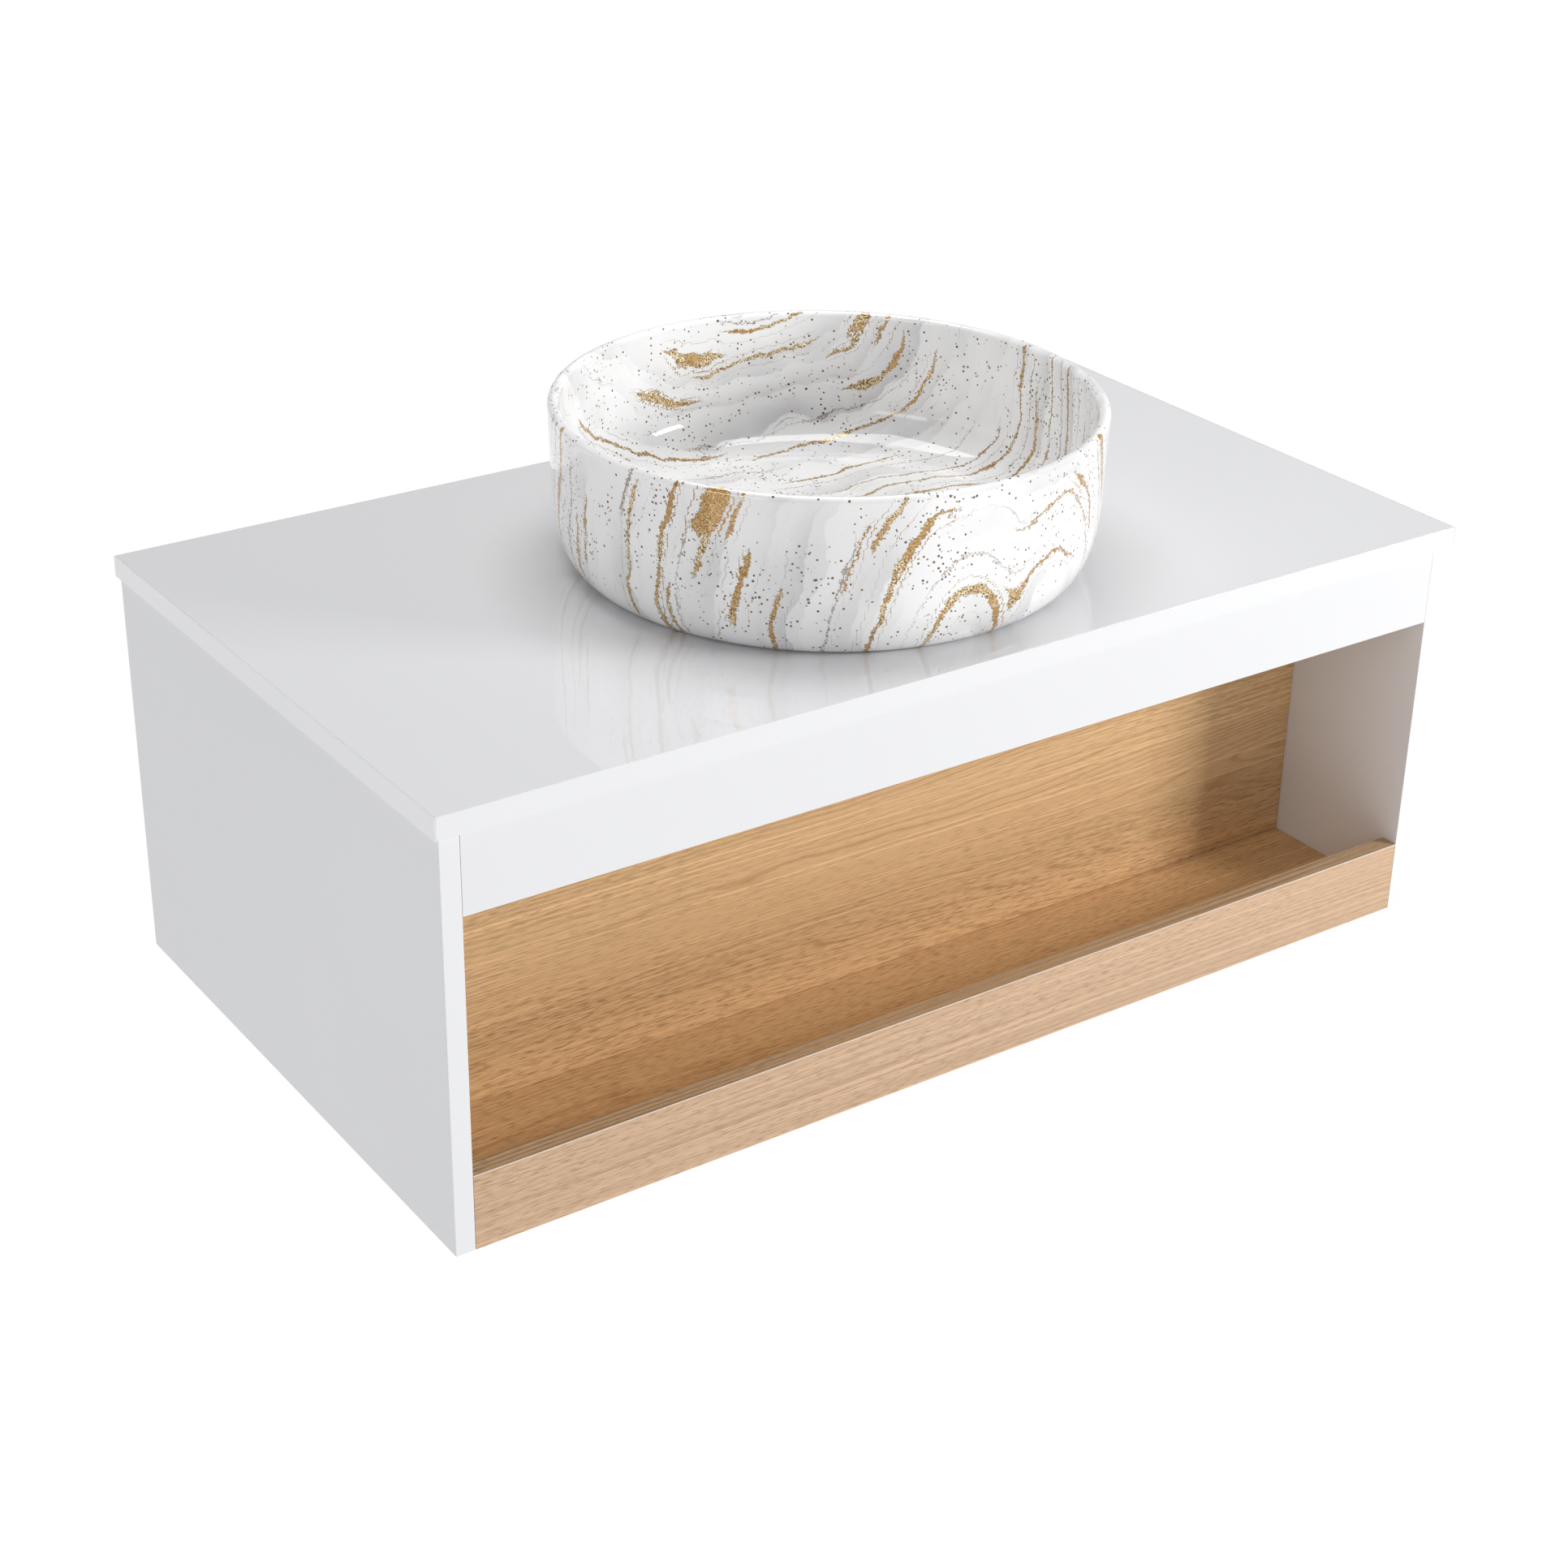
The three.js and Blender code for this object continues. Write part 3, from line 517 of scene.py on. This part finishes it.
# Veins outside: flow and half width in mm, the lowest and highest place in mm, and the first and last
# bearing in degrees, counted to the right from the way the arches face.
OUTSIDE_GOLD = [
    (33, 2.1, BOTTOM, TOP, 17, 39), (42, 2.0, BOTTOM, TOP, 41, 57), (74, 2.6, BOTTOM, 103, 5, 24),
    (66, 1.0, 40, TOP, 42, 70), (93, 1.7, 92, TOP, 0, 26), (101, 0.9, 60, 100, 0, 12),
    (140, 2.0, BOTTOM, 47, -16, 0), (166, 3.0, 30, 74, -25, -9), (182, 2.0, 94, TOP, -25, -9),
    (197, 8.0, 96, TOP, -33, -15), (194, 1.5, 62, 98, -33, -15), (220, 1.9, BOTTOM, TOP, -45, -22),
    (212, 1.3, 4, 40, -45, -22), (243, 1.8, 14, 108, -55, -30), (287, 1.3, 40, 80, -70, -48),
    (297, 1.3, 6, 60, -75, -50), (322, 1.9, 4, TOP, -90, -60), (74, 2.0, 60, TOP, 60, 100),
    (104, 3.6, 74, TOP, 66, 90), (126, 1.6, 20, 90, 66, 110), (172, 2.2, BOTTOM, 96, 100, 140),
    (214, 1.7, 30, TOP, 120, 170), (252, 2.6, 60, TOP, 120, 180), (290, 1.6, BOTTOM, 90, 130, 180),
    (345, 1.8, 20, 118, -130, -80), (366, 2.4, BOTTOM, 74, -150, -80), (388, 4.6, 84, TOP, -170, -90),
    (404, 1.6, 6, 100, -180, -90),
]
OUTSIDE_HAIR = [
    (104, 0.7, 4, 84, -4, 12), (49, 0.4, BOTTOM, TOP, 10, 44), (206, 0.5, 10, 90, -45, -15),
    (249, 1.2, 94, TOP, -60, -32), (306, 0.6, BOTTOM, 100, -90, -50), (331, 0.7, BOTTOM, TOP, -90, -60),
    (338, 0.6, 30, TOP, -100, -60), (96, 0.6, BOTTOM, 110, 64, 110), (150, 0.6, 30, TOP, 90, 140),
    (232, 0.6, BOTTOM, TOP, 120, 180), (356, 0.6, 20, TOP, -140, -80), (376, 0.7, 40, TOP, -160, -90),
]
# Veins inside: flow, half width, and where they start and end along the flow, in mm.
INSIDE_GOLD = [
    (275, 2.4, 25, 150), (258, 5.2, -46, -12), (247, 1.7, -10, 92), (234, 5.6, 160, 188),
    (229, 1.6, 130, 160), (214, 1.8, 176, 205), (195, 3.4, 134, 172), (222, 3.2, -76, -36),
    (172, 1.6, -160, -24), (160, 1.8, 30, 190), (113, 1.8, 34, 104), (77, 1.2, 60, 190),
    (59, 1.9, 58, 268), (34, 2.4, 84, 235), (12, 1.2, 190, 300), (-22, 1.7, 150, 280),
    (-62, 1.9, 40, 230), (-98, 1.7, -160, -30), (-133, 2.4, -40, 120), (-170, 1.6, -190, -40),
    (-205, 2.8, 20, 150), (-243, 2.0, -120, 60), (-272, 2.6, -40, 110),
]
INSIDE_HAIR = [
    (283, 0.8, 20, 140), (180, 0.5, -20, 160), (140, 0.5, -150, 20), (100, 0.5, 20, 180),
    (45, 0.6, 130, 260), (-8, 0.6, 150, 290), (-44, 0.6, 60, 260), (-80, 0.6, -100, 200),
    (-116, 0.6, -180, 60), (-150, 0.6, -60, 160), (-188, 0.6, -160, 120), (-224, 0.6, -100, 120),
    (-258, 0.6, -100, 100),
]
VEIN_SCALE = 0.85  # slims every vein
FAR = 8.0  # beyond this distance from a vein's edge it doesn't count, in mm
NO_VEIN = 50.0  # the distance stored where there is none, in mm
FADE_UP = 12.0  # how far a vein takes to fade at its ends: in height outside, in mm
FADE_ROUND = 4.0  # in bearing outside, in degrees
FADE_ALONG = 26.0  # along the vein inside, in mm
OUTSIDE_WANDER = 0.45  # how much veins outside wander, where those inside wander by 1
ARCH_CENTRES = ((29.4, -6.0), (52.5, -5.0))  # bearing in degrees and height in mm
ARCH_HEIGHT = 0.62  # how much less the flow counts upwards than sideways
ARCH_BLEND = 9.0  # width of the smooth join between the two sets of arches, in mm
INSIDE_LEAN = math.radians(27)


def nearest_vein(flow, veins, shown):
    """For each point, the signed distance to the nearest vein, and that vein's half width there."""
    distance = np.full(flow.shape, NO_VEIN)
    width = np.zeros(flow.shape)
    for vein in veins:
        away = flow - vein[0]
        here = VEIN_SCALE * vein[1] * shown(*vein[2:])
        closer = (np.abs(away) - here < np.abs(distance) - width) & (np.abs(away) < FAR + vein[1])
        distance = np.where(closer, away, distance)
        width = np.where(closer, here, width)
    return distance, width


def bearing(points):
    """Each point's bearing from the way the arches face, in radians from -pi to pi."""
    turn = np.arctan2(points[:, 1], points[:, 0]) - PRINT_FRONT
    return (turn + math.pi) % (2 * math.pi) - math.pi


def print_flow(points, inside, reach):
    """The print's flow across the veins at each point, in mm, and how far along the inside's veins it is.

    Outside, the flow is the distance from two centres low on the wall, so the veins are arches round
    them and lean back further away. Inside, the veins run straight across the unrolled bowl.
    """
    angle = bearing(points)
    height = points[:, 2]
    gaps = []
    for turn, low in ARCH_CENTRES:
        sideways = 2 * RIM_RADIUS * np.sin((angle - math.radians(turn)) / 2)
        gaps.append(np.hypot(sideways, ARCH_HEIGHT * (height - low)))
    near = np.exp(-gaps[0] / ARCH_BLEND) + np.exp(-(gaps[1] + 3.0) / ARCH_BLEND)
    arches = -ARCH_BLEND * np.log(near)
    right, back = reach * np.sin(angle), -reach * np.cos(angle)
    across = back * math.cos(INSIDE_LEAN) - right * math.sin(INSIDE_LEAN)
    along = right * math.cos(INSIDE_LEAN) + back * math.sin(INSIDE_LEAN)
    return np.where(inside, across, arches), along


def wander(point):
    """A slow, a middling and a quick wandering of the veins, in mm."""
    return sum(amount * noise.noise(Vector(point) / size) for size, amount in ((90, 14), (33, 6), (14, 2)))


def basin():
    """The vessel basin, with the flow and the veins of its print stored on its points."""
    outside, inside = basin_profiles()
    profile = outside + inside[1:]
    centre = BASIN_FOOT
    mesh = revolve(profile, centre)
    count = len(mesh.vertices)
    points = np.zeros(count * 3)
    mesh.vertices.foreach_get("co", points)
    points = (points.reshape(-1, 3) - np.array(centre)) / MM
    ring = np.arange(count) // TURNS
    steps = [math.dist(a, b) for a, b in zip(inside, inside[1:])]
    unrolled = HOLE + np.append(np.cumsum(steps[::-1])[::-1], 0.0)
    reach = np.append(np.zeros(len(outside) - 1), unrolled)[ring]
    is_inside = ring >= len(outside) - 1
    flow, along = print_flow(points, is_inside, reach)
    turned = np.degrees(bearing(points))
    flow += np.where(is_inside, 1.0, OUTSIDE_WANDER) * np.array([wander(p) for p in points])
    off_rim = np.clip(np.abs(ring - (len(outside) - 1)) / 3.0 - 0.5, 0, 1)

    def shown_outside(low, high, start, end):
        return window(points[:, 2], low, high, FADE_UP) * window(turned, start, end, FADE_ROUND)

    def shown_inside(start, end):
        return window(along, start, end, FADE_ALONG)

    layers = {"flow": flow}
    kinds = (("vein", OUTSIDE_GOLD, INSIDE_GOLD), ("hair", OUTSIDE_HAIR, INSIDE_HAIR))
    for name, out_veins, in_veins in kinds:
        out_distance, out_width = nearest_vein(flow, out_veins, shown_outside)
        in_distance, in_width = nearest_vein(flow, in_veins, shown_inside)
        layers[name] = np.where(is_inside, in_distance, out_distance)
        layers[name + "_width"] = np.where(is_inside, in_width, out_width) * off_rim
    for name, values in layers.items():
        attribute = mesh.attributes.new(name, "FLOAT", "POINT")
        attribute.data.foreach_set("value", values.astype(np.float32))
    present("marbled_basin", mesh, "vessel_basin")


basin()

# ---- Boards, bands and metal fittings -------------------------------------------------------------

WASTE_AXIS = BASIN_FOOT
OUTLET_AXIS = Vector((BASIN_FOOT.x, 0, sum(c.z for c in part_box("trap_outlet_pipe")) / 2))
UPRIGHT = Matrix.Identity(4)
FROM_LEVEL = Matrix.Rotation(math.pi / 2, 4, "X")
TURNED_UPRIGHT = (
    "waste_body", "waste_plug", "waste_seat_gasket", "waste_under_gasket",
    "trap_inlet_nut", "trap_inlet_tube", "trap_head", "trap_cup",
)
TURNED_LEVEL = ("trap_outlet_nut", "trap_outlet_pipe", "trap_wall_flange")

for node, slot in SLOT_OF.items():
    if node in TURNED_UPRIGHT:
        rounder(node, WASTE_AXIS, UPRIGHT)
    elif node in TURNED_LEVEL:
        rounder(node, OUTLET_AXIS, FROM_LEVEL)
    elif node != "vessel_basin":
        softened(node, SMALL_ROUNDING if node.endswith("band") else ROUNDING.get(slot, SMALL_ROUNDING))

# ---- Room, lights and camera ----------------------------------------------------------------------

FLOOR_DROP = 0.9
FLOOR_SIZE = 40


def floor():
    """A plain white floor that gives its own light, well below the object because it hangs on a wall."""
    bpy.ops.mesh.primitive_plane_add(size=FLOOR_SIZE, location=(0, 0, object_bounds()[0][2] - FLOOR_DROP))
    plane = bpy.context.object
    plane.name = "floor"
    n = Nodes("floor_white")
    n.set(Base_Color=grey(0.02), Roughness=1.0, Specular_IOR_Level=0.0)
    n.set(Emission_Color=grey(1.0), Emission_Strength=1.0)
    plane.data.materials.append(n.material)
    plane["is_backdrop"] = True


def area_light(name, place, target, size, power):
    """A white rectangular lamp at place, facing target."""
    light = bpy.data.lights.new(name, "AREA")
    light.shape = "RECTANGLE"
    light.size, light.size_y = size
    light.energy = power
    lamp = bpy.data.objects.new(name, light)
    bpy.context.scene.collection.objects.link(lamp)
    lamp.location = place
    lamp.rotation_euler = (Vector(target) - Vector(place)).to_track_quat("-Z", "Y").to_euler()


def world(strength):
    """Even white light from all round."""
    made = bpy.data.worlds.new("studio")
    made.use_nodes = True
    background = made.node_tree.nodes["Background"]
    background.inputs["Color"].default_value = grey(1.0)
    background.inputs["Strength"].default_value = strength
    bpy.context.scene.world = made


def camera(place, azimuth, elevation, roll, lens):
    """A camera at place, looking along azimuth and down by elevation, in degrees."""
    data = bpy.data.cameras.new("camera")
    data.sensor_width = 36.0
    data.lens = lens
    data.clip_start = 0.05
    data.clip_end = 100.0
    made = bpy.data.objects.new("camera", data)
    bpy.context.scene.collection.objects.link(made)
    turn = (Matrix.Rotation(math.radians(azimuth), 4, "Z")
            @ Matrix.Rotation(math.radians(90 - elevation), 4, "X")
            @ Matrix.Rotation(math.radians(roll), 4, "Z"))
    made.matrix_world = Matrix.Translation(Vector(place)) @ turn
    bpy.context.scene.camera = made


floor()
world(0.37)
area_light("key", (2.3, -2.6, 0.95), (0, -0.3, -0.05), (0.9, 0.9), 72)
area_light("fill", (-3.1, -1.4, 0.85), (0, -0.35, 0), (1.4, 1.2), 13.5)
area_light("overhead", (0.2, 0.25, 2.4), (0.1, -0.2, 0), (2.0, 1.4), 36)
camera((-1.1693, -1.9020, 0.9057), azimuth=-35.051, elevation=27.143, roll=1.0845, lens=65.57)
bpy.context.scene.view_settings.view_transform = "Standard"
